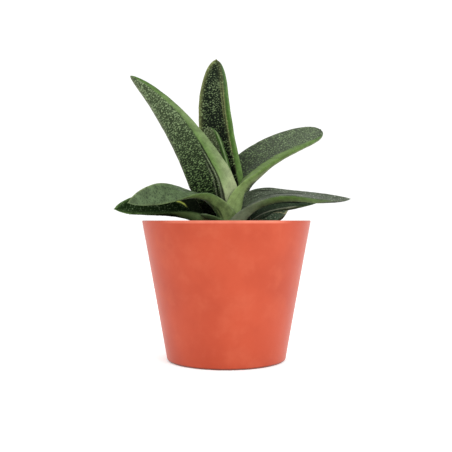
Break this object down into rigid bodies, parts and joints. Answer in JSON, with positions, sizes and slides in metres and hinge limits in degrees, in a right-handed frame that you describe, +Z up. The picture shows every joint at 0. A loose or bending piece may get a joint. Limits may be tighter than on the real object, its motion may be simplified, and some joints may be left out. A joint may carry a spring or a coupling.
{
  "type": "potted gasteria",
  "caption": "Succulent rosette of thick keeled leaves with a warty surface, growing from soil in a plain tapered clay pot.",
  "frame": {"origin": "centre of the pot's flat underside, where it stands", "axes": "+Z up along the pot's axis, -Y towards the plant's front, +X to the right as seen from the front"},
  "size_m": [0.1508, 0.11, 0.2006],
  "materials": {
    "clay": "matte unglazed orange clay",
    "soil": "dark gritty potting mix",
    "root": "matte, pale and fleshy",
    "leaf": "waxy dark green with pale warts",
    "young_leaf": "waxy fresh green",
    "shaded_leaf": "waxy deep green",
    "old_leaf": "dull green drying to brown"
  },
  "bodies": {
    "root": {"pot": "clay", "potting_soil": "soil", "stem_with_roots": "root", "leaf_young_centre": "young_leaf", "leaf_upright_back": "leaf", "leaf_upper_left": "leaf", "leaf_upper_right": "leaf", "leaf_left_broad": "leaf", "leaf_right_arching": "leaf", "leaf_left_low": "shaded_leaf", "leaf_left_shaded": "shaded_leaf", "leaf_right_shaded": "shaded_leaf", "leaf_right_old": "old_leaf", "leaf_front_small": "leaf"}
  },
  "joints": []
}
